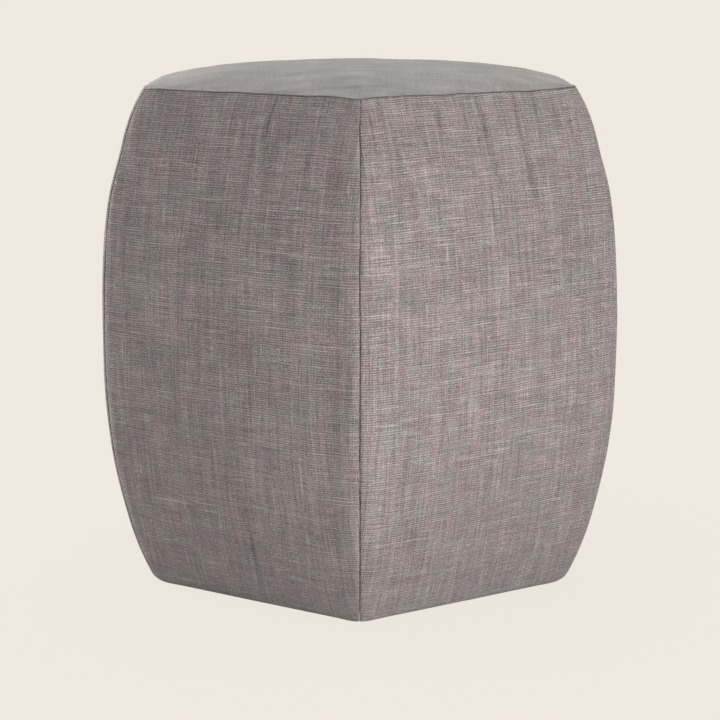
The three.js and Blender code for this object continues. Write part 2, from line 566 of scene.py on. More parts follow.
def cloth_places(piece: Piece) -> tuple[Array, Array]:
    """Reads the cloth map of a piece back.

    Args:
        piece: the piece.

    Returns:
        Place of each vertex across and up the flat cloth, in metres.
    """
    corner = read(piece.data.loops, "vertex_index", 1, int)
    places = np.zeros((len(piece.data.vertices), 2))
    places[corner] = read(piece.data.uv_layers[WEAVE_MAP].data, "uv", 2, float)
    return places[:, 0], places[:, 1]


def set_fold_for_painted_shade(piece: Piece, relief: Array) -> None:
    """Writes how far each vertex stands out on a fold, in millimetres, for the cloth to read as painted
    shade in troughs and painted light on ridges.
    """
    layer = piece.data.attributes.new(PAINTED_SHADE_FOLD, "FLOAT", "POINT")
    layer.data.foreach_set("value", relief / MM)


def apply_modifier(piece: Piece, name: str) -> None:
    """Applies one modifier of a piece."""
    only(piece)
    bpy.ops.object.modifier_apply(modifier=name)


def refine(piece: Piece, levels: int) -> None:
    """Subdivides a piece smoothly and applies it.

    Args:
        piece: the piece.
        levels: how many times it is subdivided.
    """
    finer = piece.modifiers.new("finer", "SUBSURF")
    finer.levels = levels
    finer.render_levels = levels
    finer.boundary_smooth = "PRESERVE_CORNERS"
    apply_modifier(piece, finer.name)


def swell(piece: Piece, held: Array, cap: float, pressure: float) -> None:
    """Swells the cloth of a pad under light pressure while its seams are held.

    Args:
        piece: the pad, slightly slimmer than it ends.
        held: true for each vertex that stays put.
        cap: the furthest that a point may move, in metres.
        pressure: the pressure inside.
    """
    group = piece.vertex_groups.new(name="held")
    group.add([int(i) for i in np.flatnonzero(held)], 1.0, "REPLACE")
    start = points_of(piece)
    cloth = piece.modifiers.new("cloth", "CLOTH")
    rules = cloth.settings
    rules.vertex_group_mass = group.name
    rules.use_pressure = True
    rules.uniform_pressure_force = pressure
    rules.effector_weights.gravity = 0
    rules.quality = 6
    rules.bending_stiffness = 2
    cloth.point_cache.frame_start = 1
    cloth.point_cache.frame_end = SETTLE_FRAMES
    for number in range(1, SETTLE_FRAMES + 1):
        bpy.context.scene.frame_set(number)
    apply_modifier(piece, cloth.name)
    bpy.context.scene.frame_set(1)
    move = points_of(piece) - start
    size = np.linalg.norm(move, axis=1, keepdims=True)
    soft_cap = cap * np.tanh(size / cap)
    move_points(piece, start + move * soft_cap / np.maximum(size, 1e-9))
    piece.vertex_groups.clear()
    LOG.info("%s swelled by up to %.1f mm", piece.name, float(soft_cap.max()) / MM)


def finish_cloth(piece: Piece, finish: bpy.types.Material, sharpest: float = 50.0) -> None:
    """Shades a piece smooth except across edges sharper than an angle in degrees, and dresses it.

    Args:
        piece: the piece.
        finish: its cloth.
        sharpest: the angle in degrees.
    """
    only(piece)
    bpy.ops.object.shade_smooth_by_angle(angle=math.radians(sharpest))
    piece.data.materials.append(finish)


# ---- Shader work ---------------------------------------------------------------------------------


class NodeBench:
    """Adds shader nodes to one node tree in few words."""

    def __init__(self, tree: bpy.types.NodeTree) -> None:
        """Takes the tree to work on."""
        self.tree = tree

    @classmethod
    def cleared(cls, owner: bpy.types.Material | bpy.types.World) -> "NodeBench":
        """A bench on the emptied node tree of a material or a world.

        Args:
            owner: the material or the world.

        Returns:
            The bench.
        """
        owner.use_nodes = True
        owner.node_tree.nodes.clear()
        return cls(owner.node_tree)

    def node(
        self, kind: str, inputs: dict[str | int, object] | None = None, **settings: object
    ) -> bpy.types.Node:
        """A new node.

        Args:
            kind: type of the node.
            inputs: a socket or a plain value for each named or numbered input.
            settings: properties of the node.

        Returns:
            The node.
        """
        made = self.tree.nodes.new(kind)
        for name, value in settings.items():
            setattr(made, name, value)
        for name, value in (inputs or {}).items():
            self.feed(made.inputs[name], value)
        return made

    def feed(self, target: Socket, value: object) -> None:
        """Links a socket to an input, or writes a plain value on it.

        Args:
            target: the input.
            value: the socket or the value.
        """
        if isinstance(value, bpy.types.NodeSocket):
            self.tree.links.new(value, target)
        else:
            target.default_value = value

    def math(self, operation: str, *values: object, clamp: bool = False) -> Socket:
        """Result of a Math node."""
        inputs = dict(enumerate(values))
        return self.node("ShaderNodeMath", inputs, operation=operation, use_clamp=clamp).outputs[0]

    def place(self, x: object, y: object, z: object) -> Socket:
        """A vector from three numbers or sockets."""
        return self.node("ShaderNodeCombineXYZ", {0: x, 1: y, 2: z}).outputs[0]

    def noise(self, place: Socket, detail: float) -> Socket:
        """Soft noise at a place, from about 0 to 1, with features about one unit wide."""
        inputs = {"Vector": place, "Scale": 1.0, "Detail": detail, "Roughness": 0.5}
        return self.node("ShaderNodeTexNoise", inputs, noise_dimensions="3D").outputs["Fac"]

    def ease(self, value: Socket, low: float, high: float) -> Socket:
        """0 below low, 1 above high, and smooth between them."""
        inputs = {"Value": value, "From Min": low, "From Max": high}
        return self.node("ShaderNodeMapRange", inputs, interpolation_type="SMOOTHSTEP").outputs[0]

    def blend(self, factor: object, first: object, second: object, way: str = "MIX") -> Socket:
        """A colour between two colours, or with way MULTIPLY the first tinted by the second."""
        inputs = {0: factor, 6: first, 7: second}
        return self.node("ShaderNodeMix", inputs, data_type="RGBA", blend_type=way).outputs[2]

    def mix(self, factor: object, first: bpy.types.Node, second: bpy.types.Node) -> bpy.types.Node:
        """A shader between two shaders."""
        return self.node("ShaderNodeMixShader", {0: factor, 1: first.outputs[0], 2: second.outputs[0]})


@dataclass(frozen=True)
class Weave:
    """How strongly each part of a plain weave shows in its colour."""

    rib: float = 0.165
    weft: float = 0.61
    warp: float = 0.58
    weft_bands: float = 0.2
    warp_bands: float = 0.3
    slubs: float = 0.4
    cloud: float = 0.22
    grain: float = 1.3


class WeaveGroup:
    """Shader node group of a slubbed plain weave, on a cloth map in metres.

    Its pitches and sizes are in millimetres on the cloth.
    """

    NAME = "slubbed_weave"
    INPUTS = ("Rib", "Weft", "Warp", "Weft Bands", "Warp Bands", "Slubs", "Cloud", "Grain")
    RIB_PITCH = 1.9
    WARP_PITCH = 1.6
    WAVER_SIZE = 45.0
    WARP_SLUBS = 0.8
    PACKING = 2.4

    @classmethod
    def build(cls) -> bpy.types.NodeTree:
        """Makes the group once.

        Returns:
            The group, with outputs Tone, Hue and Height.
        """
        if cls.NAME in bpy.data.node_groups:
            return bpy.data.node_groups[cls.NAME]
        tree = bpy.data.node_groups.new(cls.NAME, "ShaderNodeTree")
        tree.interface.new_socket("Cloth", in_out="INPUT", socket_type="NodeSocketVector")
        for name in cls.INPUTS:
            tree.interface.new_socket(name, in_out="INPUT", socket_type="NodeSocketFloat")
        for name in ("Tone", "Hue", "Height"):
            tree.interface.new_socket(name, in_out="OUTPUT", socket_type="NodeSocketFloat")
        cls._wire(NodeBench(tree))
        return tree

    @classmethod
    def _wire(cls, bench: NodeBench) -> None:
        """Adds the nodes: yarns each way, bands of like yarns, slubs, grain and slow clouds.

        Args:
            bench: the bench on the group.
        """
        given = bench.node("NodeGroupInput").outputs
        made = bench.node("NodeGroupOutput").inputs
        across, up = cls._wavering(bench, given["Cloth"])

        def yarns(x_size: float, y_size: float, layer: float, detail: float = 1.0) -> Socket:
            """Noise stretched to a size, from -0.5 to 0.5.

            Args:
                x_size: size of its features across the cloth.
                y_size: size of its features up the cloth.
                layer: place in the noise, which differs for each use.
                detail: how much finer noise is added.

            Returns:
                The noise.
            """
            x = bench.math("DIVIDE", across, x_size)
            y = bench.math("DIVIDE", up, y_size)
            return bench.math("SUBTRACT", bench.noise(bench.place(x, y, layer), detail), 0.5)

        weft = yarns(26, 0.95, 3.1, 2.0)
        warp = yarns(0.95, 34, 11.7, 2.0)
        weft_bands = yarns(55, 3.2, 23.5)
        warp_bands = yarns(3.4, 95, 37.9)
        grain = yarns(0.8, 0.8, 51.3)
        cloud = yarns(30, 26, 67.7, 3.0)
        short_slub = bench.ease(yarns(17, 0.9, 83.9), 0.14, 0.3)
        long_slub = bench.ease(yarns(44, 1.1, 113.3), 0.14, 0.28)
        warp_slub = bench.ease(yarns(1.25, 30, 151.7), 0.17, 0.3)
        slub = bench.math("MAXIMUM", short_slub, long_slub)
        slub = bench.math("MAXIMUM", slub, bench.math("MULTIPLY", warp_slub, cls.WARP_SLUBS))
        packed = bench.math("MULTIPLY_ADD", yarns(60, 9, 131.1), cls.PACKING, up)
        rib = bench.math("SINE", bench.math("MULTIPLY", packed, FULL_TURN / cls.RIB_PITCH))
        tone: Socket | float = 0.5
        parts = (rib, weft, warp, weft_bands, warp_bands, slub, cloud, grain)
        for name, part in zip(cls.INPUTS, parts):
            tone = bench.math("MULTIPLY_ADD", part, given[name], tone)
        bench.feed(made["Tone"], tone)
        bench.feed(made["Hue"], bench.math("ADD", yarns(13, 27, 97.1, 2.0), 0.5))
        cross = bench.math("SINE", bench.math("MULTIPLY", across, FULL_TURN / cls.WARP_PITCH))
        height = bench.math("MULTIPLY", cross, 0.25)
        for part, strength in ((rib, 0.5), (weft, 1.6), (warp, 1.2), (slub, 0.6)):
            height = bench.math("MULTIPLY_ADD", part, strength, height)
        bench.feed(made["Height"], height)

    @classmethod
    def _wavering(cls, bench: NodeBench, cloth: Socket) -> tuple[Socket, Socket]:
        """Moves places on the cloth a little, so that yarns run unevenly.

        Args:
            bench: the bench on the group.
            cloth: the place on the cloth, in metres.

        Returns:
            The moved place across and up, in millimetres.
        """
        apart = bench.node("ShaderNodeSeparateXYZ", {0: cloth}).outputs
        across, up = (bench.math("DIVIDE", apart[axis], MM) for axis in (0, 1))
        moved = []
        for value, layer, reach in ((across, 5.3, 2.2), (up, 7.9, 1.6)):
            x = bench.math("DIVIDE", across, cls.WAVER_SIZE)
            y = bench.math("DIVIDE", up, cls.WAVER_SIZE)
            sway = bench.math("SUBTRACT", bench.noise(bench.place(x, y, layer), 1.0), 0.5)
            moved.append(bench.math("MULTIPLY_ADD", sway, reach, value))
        return moved[0], moved[1]


@dataclass(frozen=True)
class ClothFinish:
    """A matt woven cloth: its yarn colours, its weave, how its loose fibres catch light, and the
    painted shade and painted light that it lays on the troughs and ridges of folds.
    """

    name: str
    dark: Rgb
    middle: Rgb
    light: Rgb
    cool: Rgb
    weave: Weave
    roughness: float = 0.95
    specular: float = 0.25
    sheen: float = 0.35
    sheen_roughness: float = 0.45
    sheen_tint: Rgb = (0.86, 0.9, 0.9)
    relief: float = 0.32 * MM
    # Painted shade and painted light: change of tone per millimetre of fold relief, darker in troughs,
    # lighter on ridges.
    painted_fold_shade: float = 0.06

    def material(self) -> bpy.types.Material:
        """Makes the material.

        Returns:
            The material, which reads the cloth map of its piece.
        """
        made = bpy.data.materials.new(self.name)
        bench = NodeBench.cleared(made)
        inputs = {"Cloth": bench.node("ShaderNodeUVMap", uv_map=WEAVE_MAP).outputs[0]}
        for name in WeaveGroup.INPUTS:
            inputs[name] = getattr(self.weave, name.lower().replace(" ", "_"))
        weave = bench.node("ShaderNodeGroup", inputs, node_tree=WeaveGroup.build())
        relief = {"Distance": self.relief, "Strength": 1.0, "Height": weave.outputs["Height"]}
        look = {
            "Base Color": self._colour(bench, weave),
            "Roughness": self.roughness,
            "Specular IOR Level": self.specular,
            "Sheen Weight": self.sheen,
            "Sheen Roughness": self.sheen_roughness,
            "Sheen Tint": (*self.sheen_tint, 1),
            "Normal": bench.node("ShaderNodeBump", relief).outputs[0],
        }
        surface = bench.node("ShaderNodeBsdfPrincipled", look).outputs[0]
        bench.node("ShaderNodeOutputMaterial", {"Surface": surface})
        return made

    def _colour(self, bench: NodeBench, weave: bpy.types.Node) -> Socket:
        """Yarn colour at each place: dark to light by tone, darkened in fold troughs as painted shade
        and lightened on fold ridges as painted light, warmer or cooler by hue.

        Args:
            bench: the bench on the material.
            weave: the weave's node in it.

        Returns:
            The colour.
        """
        # Painted shade: fold troughs darken the tone and fold ridges lighten it.
        fold = bench.node("ShaderNodeAttribute", attribute_name=PAINTED_SHADE_FOLD).outputs["Fac"]
        tone = bench.math("MULTIPLY_ADD", fold, self.painted_fold_shade, weave.outputs["Tone"])
        below = bench.math("MULTIPLY", tone, 2.0, clamp=True)
        above = bench.math("MULTIPLY_ADD", tone, 2.0, -1.0, clamp=True)
        shade = bench.blend(below, (*self.dark, 1), (*self.middle, 1))
        shade = bench.blend(above, shade, (*self.light, 1))
        cooler = bench.ease(weave.outputs["Hue"], 0.35, 0.65)
        tint = bench.blend(cooler, (1, 1, 1, 1), (*self.cool, 1))
        return bench.blend(1.0, shade, tint, "MULTIPLY")


LINEN = ClothFinish(
    name="linen",
    dark=linear(93, 82, 82),
    middle=linear(150, 136, 136),
    light=linear(207, 193, 191),
    cool=(0.92, 1.015, 0.98),
    weave=Weave(),
    sheen=0.3,
)
# The sides' linen on the top, its yarn colours darkened as painted shade of the top, with a fainter
# weave and a stronger, cooler sheen.
TOP_LINEN_PAINTED_SHADE = replace(
    LINEN,
    name="linen_on_top",
    # Darker than the sides' yarn colours: painted shade.
    dark=linear(83, 71, 71),
    middle=linear(133, 118, 118),
    light=linear(186, 170, 168),
    weave=Weave(
        rib=0.08, weft=0.5, warp=0.25, weft_bands=0.3, warp_bands=0.15, slubs=0.3, cloud=0.65, grain=0.7
    ),
    sheen=0.4,
    sheen_tint=(0.84, 0.97, 0.92),
    relief=0.12 * MM,
)
BASE_CLOTH = ClothFinish(
    name="base_cloth",
    dark=linear(52, 48, 46),
    middle=linear(76, 70, 67),
    light=linear(100, 94, 90),
    cool=(0.97, 1.0, 1.0),
    weave=Weave(slubs=0.1, weft=0.4, warp=0.4),
    sheen=0.1,
)


# ---- The pieces ----------------------------------------------------------------------------------


@dataclass(frozen=True)
class Row:
    """One level row of points up a side panel: its height, sharp corner, swell and place."""

    height: float
    corner: float
    fullness: float
    up: float = 0.0


@dataclass
class SidePanels:
    """The six padded sides, which share one swelled pad and differ in their creases.

    Each side is numbered from 1, and is cut from its own place on the cloth.
    """

    shape: BodyShape
    finish: bpy.types.Material
    drapes: dict[int, Drape]
    row_step: float = 6 * MM
    columns: int = 29
    near_seam: tuple[float, ...] = tuple(
        d * MM for d in (0, 0.5, 1.4, 2.6, 4.2, 6.2, 8.6, 11.5, 15, 19, 23.5)
    )
    slimmer: float = 1.5 * MM
    slim_ease: float = 20 * MM
    swell_cap: float = 3 * MM
    pressure: float = 2.0
    recess_rows: int = 3
    underside_rows: int = 5
    underside_start: float = 0.06
    recess_lean: float = 0.2 * MM
    roll_rows: int = 6
    seam_rows: tuple[float, ...] = (0.62, 0.34, 0.16)
    mean_fullness: float = 0.6
    cut_across: float = 0.61
    cut_up: float = 0.37
    calm_seam: float = 8 * MM
    calm_top: float = 3 * MM
    calm_foot: float = 2 * MM
    calm_foot_fade: float = 25 * MM

    def build(self) -> list[Piece]:
        """Makes all the sides.

        Returns:
            The finished pieces, in the order of their nodes.
        """
        pad = self._pad()
        made = []
        for number in range(1, SIDES + 1):
            piece = pad.copy()
            piece.data = pad.data.copy()
            piece.name = f"side_{number}"
            piece.data.name = piece.name
            bpy.context.collection.objects.link(piece)
            self._finish_side(piece, number)
            made.append(piece)
        bpy.data.objects.remove(pad)
        return made

    def _rows(self) -> list[Row]:
        """Rows from the base cloth, round the floor roll and up to the top seam.

        Returns:
            The rows, with the place of each up the cloth.
        """
        s = self.shape
        rows = [
            Row(s.recess_height, s.recess_corner, 0.0),
            Row(s.recess_height / 2, s.recess_corner, 0.0),
            Row(0.0, s.recess_corner + self.recess_lean, 0.0),
        ]
        rim = s.stations[0].corner * MM - s.floor_roll / COS_HALF
        for part in np.linspace(self.underside_start, 1, self.underside_rows):
            rows.append(Row(0.0, s.recess_corner + (rim - s.recess_corner) * part, 0.0))
        for i in range(1, self.roll_rows):
            angle = math.pi / 2 * i / self.roll_rows
            height = s.floor_roll * (1 - math.cos(angle))
            rows.append(self._row_at(height, s.floor_roll * (1 - math.sin(angle))))
        turn = s.top_seam_round
        top = s.seam_height - turn
        count = round((top - s.floor_roll) / self.row_step)
        rows += [self._row_at(float(z), 0.0) for z in np.linspace(s.floor_roll, top, count)]
        for to_seam in self.seam_rows:
            left = to_seam * turn
            rows.append(self._row_at(s.seam_height - left, float(s.roll(np.array(left), turn))))
        rows.append(self._row_at(s.seam_height - s.half_gap, turn))
        return self._with_places(rows)

    def _row_at(self, height: float, inset: float) -> Row:
        """A row on the outside of the panel.

        Args:
            height: its height, in metres.
            inset: how far the hexagon is drawn in there, in metres.

        Returns:
            The row.
        """
        level = np.array(height)
        corner = float(self.shape.corner(level)) - inset / COS_HALF
        return Row(height, corner, float(self.shape.fullness(level)))

    def _with_places(self, rows: Sequence[Row]) -> list[Row]:
        """Measures the cloth up the rows.

        Args:
            rows: the rows, from the base cloth up.

        Returns:
            The same rows with the length of cloth from the floor up to each.
        """
        out = np.array([r.corner * COS_HALF + self.mean_fullness * r.fullness for r in rows])
        step = np.hypot(np.diff(out), np.diff([r.height for r in rows]))
        length = np.concatenate([[0.0], np.cumsum(step)])
        floor = next(i for i, r in enumerate(rows) if r.height > 0 and i >= self.recess_rows)
        length -= length[floor]
        return [replace(row, up=float(place)) for row, place in zip(rows, length)]

    def _pad(self) -> Piece:
        """Makes one side facing +X: its face is swelled by cloth simulation, then made finer.

        Returns:
            The face, open at its edge.
        """
        rows = self._rows()
        columns = self.columns + 2 * len(self.near_seam) - 1
        bpy.ops.mesh.primitive_grid_add(x_subdivisions=columns - 1, y_subdivisions=len(rows) - 1)
        pad = bpy.context.object
        grid = points_of(pad)
        column = np.rint((grid[:, 0] + 1) / 2 * (columns - 1)).astype(int)
        row = np.rint((grid[:, 1] + 1) / 2 * (len(rows) - 1)).astype(int)
        height, corner, fullness, up = (
            np.array([getattr(r, name) for r in rows])[row]
            for name in ("height", "corner", "fullness", "up")
        )
        width = corner * SIN_HALF
        along = self._along(column, columns, width)
        shoulder = self.shape.shoulder_reach
        room = np.minimum(
            width - np.abs(along) - shoulder, (height - 3 * self.shape.floor_roll) / 2
        )
        room = np.minimum(room, (self.shape.seam_height - shoulder - height) / 2)
        fullness = fullness - self.slimmer * np.clip(room / self.slim_ease, 0, 1)
        move_points(pad, self._face(height, corner, fullness, along, width))
        set_cloth_map(pad, along, up)
        swell(pad, room < 0, self.swell_cap, self.pressure)
        refine(pad, REFINEMENT)
        return pad

    def _along(self, column: Array, columns: int, width: Array) -> Array:
        """Places columns across the panel, closer together at the seams.

        Args:
            column: number of each point's column.
            columns: how many columns there are.
            width: distance from the middle to the seam at each point.

        Returns:
            Distance of each point from the middle of the panel, in metres.
        """
        near = np.array(self.near_seam)
        last = columns - 1
        side = np.where(column * 2 > last, 1.0, -1.0)
        index = np.minimum(column, last - column)
        inner = len(near) - 1
        reach = width - near[-1]
        even = reach * (1 - (index - inner) / (last / 2 - inner))
        return side * np.where(index < inner, width - near[np.minimum(index, inner)], even)

    def _face(self, height: Array, corner: Array, fullness: Array, along: Array, width: Array) -> Array:
        """Points of the face of a side that looks along +X.

        Args:
            height: heights in metres.
            corner: distance from the axis to the sharp corner at each height.
            fullness: swell at the middle of the panel at each height.
            along: distance of each point from the middle of the panel.
            width: distance from the middle to the seam at each height.

        Returns:
            The points, one row each.
        """
        part = along / width
        out = corner * COS_HALF + fullness * (1 - part * part)
        points = np.column_stack([out, along, height])
        to_seam = width - np.abs(along)
        draw_in(points, self.shape.seam_pull(height, to_seam))
        at_seam = to_seam < TINY
        points[at_seam, 0] += self.shape.half_gap * SIN_HALF
        points[at_seam, 1] -= (np.sign(along) * self.shape.half_gap * COS_HALF)[at_seam]
        return points

    def _finish_side(self, piece: Piece, number: int) -> None:
        """Creases one side, closes it in to the axis, turns it to its place and dresses it.

        Args:
            piece: a copy of the pad.
            number: number of the side.
        """
        drape = self.drapes[number]
        across, up = cloth_places(piece)
        points = points_of(piece)
        height = points[:, 2].copy()
        width = self.shape.corner(height) * SIN_HALF
        folds = np.zeros_like(height)
        for crease in drape.creases:
            folds += crease.relief(across / MM, height / MM)
        calm = np.clip((width - np.abs(points[:, 1])) / self.calm_seam, 0, 1)
        calm *= np.clip((self.shape.seam_height - height) / self.calm_top, 0, 1)
        calm *= np.clip((height - self.calm_foot) / self.calm_foot_fade, 0, 1)
        relief = Undulation(seed=number).relief(across, up) + folds
        points += normals_of(piece) * (relief * calm)[:, None]
        move_points(piece, points)
        # The fold relief is kept for the cloth's painted shade in troughs and painted light on ridges.
        set_fold_for_painted_shade(piece, folds * calm)
        lift = drape.thread_lift(across, height, width)
        set_cloth_map(piece, across + self.cut_across * number, up - lift + self.cut_up * number)
        self._close(piece)
        self._pull_corners(piece, number)
        angle = (2 * number - 1) * HALF_SECTOR - math.pi / 2
        move_points(piece, turned(points_of(piece), angle))
        finish_cloth(piece, self.finish)

    def _pull_corners(self, piece: Piece, number: int) -> None:
        """Moves the points of a side near its corner seams and the corners of its top seam.

        Args:
            piece: the side, still facing +X.
            number: number of the side.
        """
        s = self.shape
        points = points_of(piece)
        width = s.corner(points[:, 2]) * SIN_HALF
        corner = np.where(points[:, 1] > 0, number % SIDES, number - 1)
        nearness = np.clip(points[:, 2] / s.seam_height, 0, 1)
        distance = np.clip(width - np.abs(points[:, 1]), 0, None)
        inward, down = s.corner_pull(corner, distance, nearness)
        part_out = np.clip(points[:, 0] / (width / math.tan(HALF_SECTOR)), 0, 1)
        down += part_out * s.seam_wander(number - 1, points[:, 1], nearness)
        draw_in(points, inward - part_out * s.soften(corner, points[:, 2], distance))
        for side, turn in ((number - 1, -HALF_SECTOR), (number % SIDES, HALF_SECTOR)):
            sway = s.seam_sway(side, points[:, 2], distance)
            shut = s.soft_shut * s.corners[side].soft * math.copysign(1, turn)
            sway += shut * np.clip(1 - distance / s.sway_reach, 0, 1)
            sway *= corner == side
            points[:, 0] -= sway * math.sin(turn)
            points[:, 1] += sway * math.cos(turn)
        points[:, 2] -= down
        move_points(piece, points)

    def _close(self, piece: Piece) -> None:
        """Draws the edge of the face in to the axis, so that the side is one closed solid.

        Args:
            piece: the side, still facing +X.
        """
        only(piece)
        with edit_mode():
            select_open_edge()
            bpy.ops.mesh.extrude_edges_move()
        points = points_of(piece)
        points[chosen_of(piece), :2] = (self.shape.half_gap / SIN_HALF, 0.0)
        move_points(piece, points)
        with edit_mode():
            bpy.ops.mesh.remove_doubles(threshold=WELD)
            bpy.ops.mesh.select_all(action="SELECT")
            bpy.ops.mesh.dissolve_degenerate(threshold=TINY)
            turn_outwards()


@dataclass
class TopPanel:
    """The padded hexagonal top, crowned and drawn in at its seam."""

    shape: BodyShape
    finish: bpy.types.Material
    creases: tuple[Crease, ...] = ()
    unevenness: Undulation = Undulation(seed=71, height=0.3 * MM)
    lip: float = 0.6 * MM
    lip_rows: tuple[float, ...] = (0.75, 0.5)
    turned_under: float = 12 * MM
    flatness: float = 6.0
    ease: float = 1.05
    squaring: float = 2.0
    squaring_rounds: int = 8
    rim_power: int = 8
    corner_thinning: float = 0.62
    corner_thin_reach: float = 25 * MM
    cells: int = 26
    cell_weld: float = 0.1 * MM
    slimmer: float = 0.4 * MM
    held_from: float = 0.93
    swell_cap: float = 1.2 * MM
    pressure: float = 2.0
    calm_seam: float = 15 * MM

    def build(self) -> Piece:
        """Makes the top.

        Returns:
            The finished piece.
        """
        piece = self._hexagon()
        points = points_of(piece)
        part = self._part(points)
        low = self.shape.seam_height + self.lip
        full = self.shape.total_height - low
        height = full - self.slimmer
        to_corner = np.hypot(self._to_corner(points), self._sharp_rim(points) * (1 - part))
        thin = self.corner_thinning * np.exp(-((to_corner / self.corner_thin_reach) ** 2))
        crown = np.clip(1 - part**self.flatness, 0, 1) ** self.ease
        points[:, 2] = low + height * crown * (1 - thin)
        points[:, 2] -= self._corner_pull(points, part)[1]
        move_points(piece, points)
        set_cloth_map(piece, points[:, 0], points[:, 1])
        swell(piece, part > self.held_from, self.swell_cap, self.pressure)
        refine(piece, REFINEMENT)
        self._crease(piece)
        self._close(piece)
        finish_cloth(piece, self.finish)
        return piece

    def _hexagon(self) -> Piece:
        """Makes a flat hexagonal sheet of three rhombs, so that its edges lie along the seam.

        Returns:
            The sheet, drawn in to the rim of the top.
        """
        bpy.ops.mesh.primitive_grid_add(x_subdivisions=self.cells, y_subdivisions=self.cells)
        sheet = bpy.context.object
        grid = (points_of(sheet) + 1) / 2
        ends = [Vector((math.cos(a), math.sin(a))) for a in (-math.pi / 2, math.pi / 6)]
        flat = np.zeros_like(grid)
        for axis in (0, 1):
            skewed = grid[:, 0] * ends[0][axis] + grid[:, 1] * ends[1][axis]
            flat[:, axis] = self.shape.top_corner * skewed
        move_points(sheet, flat)
        others = []
        for turn in (FULL_TURN / 3, 2 * FULL_TURN / 3):
            other = sheet.copy()
            other.data = sheet.data.copy()
            bpy.context.collection.objects.link(other)
            move_points(other, turned(flat, turn))
            others.append(other)
        only(sheet)
        for other in others:
            other.select_set(True)
        bpy.ops.object.join()
        with edit_mode():
            bpy.ops.mesh.select_all(action="SELECT")
            bpy.ops.mesh.remove_doubles(threshold=self.cell_weld)
            turn_outwards()
        sheet.name = "top"
        sheet.data.name = sheet.name
        points = points_of(sheet)
        scale = self._rim(points) / self._sharp_rim(points)
        points[:, :2] *= (1 - (1 - scale) * self._part(points) ** self.rim_power)[:, None]
        move_points(sheet, points)
        return sheet

    def _sharp_rim(self, points: Array) -> Array:
        """Distance from the axis to the edge of the sharp hexagon in the direction of each point."""
        angle = np.arctan2(points[:, 1], points[:, 0])
        return self.shape.top_corner * COS_HALF / np.cos((angle + HALF_SECTOR) % SECTOR - HALF_SECTOR)

    def _corner_pull(self, points: Array, part: Array) -> tuple[Array, Array]:
        """How far the nearest corner and the wandering seam pull each point.

        Args:
            points: one row for each point.
            part: how far out each point is, 1 at the edge.

        Returns:
            The pull towards the axis and the pull down, in metres.
        """
        angle = np.arctan2(points[:, 1], points[:, 0]) + math.pi / 2
        corner = np.rint(angle / SECTOR).astype(int) % SIDES
        side = np.floor(angle / SECTOR).astype(int) % SIDES
        inward, down = self.shape.corner_pull(corner, self._to_corner(points), part)
        along = self._sharp_rim(points) * np.sin(angle % SECTOR - HALF_SECTOR)
        return inward, down + self.shape.seam_wander(side, along, part)

    def _to_corner(self, points: Array) -> Array:
        """Distance along the seam from the nearest corner, in the direction of each point.

        Args:
            points: one row for each point.

        Returns:
            The distances in metres.
        """
        corner = self.shape.top_corner
        along = np.sqrt(np.clip(self._sharp_rim(points) ** 2 - (corner * COS_HALF) ** 2, 0, None))
        return np.clip(corner * SIN_HALF - along, 0, None)

    def _rim(self, points: Array) -> Array:
        """Distance from the axis to the edge of the top in the direction of each point.

        Args:
            points: one row for each point.

        Returns:
            The distances in metres.
        """
        to_corner = self._to_corner(points)
        height = np.full(len(points), self.shape.seam_height)
        pull = self.shape.seam_pull(height, to_corner) - self.shape.seam_dip(to_corner)
        pull += self._corner_pull(points, np.ones(len(points)))[0]
        return self._sharp_rim(points) - pull

    def _part(self, points: Array) -> Array:
        """How far out each point is, on rings that are round inside and hexagonal at the edge.

        Args:
            points: one row for each point.

        Returns:
            0 at the axis to 1 at the edge.
        """
        flat = self.shape.top_corner * COS_HALF
        more = self._sharp_rim(points) - flat
        radius = np.hypot(points[:, 0], points[:, 1])
        part = radius / flat
        for _ in range(self.squaring_rounds):
            part = radius / (flat + more * np.clip(part, 0, 1) ** self.squaring)
        return np.clip(part, 0, 1)

    def _crease(self, piece: Piece) -> None:
        """Adds the slow unevenness and the creases of the top.

        Args:
            piece: the top.
        """
        points = points_of(piece)
        x, y = points[:, 0], points[:, 1]
        relief = self.unevenness.relief(x, y)
        for crease in self.creases:
            relief += crease.relief(x / MM, y / MM)
        calm = np.clip((self._rim(points) - np.hypot(x, y)) / self.calm_seam, 0, 1)
        points[:, 2] += relief * calm
        move_points(piece, points)

    def _close(self, piece: Piece) -> None:
        """Rolls the edge under to the seam and closes the underside.

        Args:
            piece: the top, still open below.
        """
        s = self.shape
        under = s.seam_height + s.half_gap
        only(piece)
        with edit_mode():
            select_open_edge()
        for left in (part * self.lip for part in self.lip_rows):
            self._add_ring(piece, float(s.roll(np.array(left), self.lip)), s.seam_height + left)
        self._add_ring(piece, self.lip, under)
        self._add_ring(piece, self.turned_under, under)
        with edit_mode():
            bpy.ops.mesh.extrude_edges_move()
        points = points_of(piece)
        points[chosen_of(piece)] = (0.0, 0.0, under)
        move_points(piece, points)
        with edit_mode():
            bpy.ops.mesh.remove_doubles(threshold=WELD)
            turn_outwards()

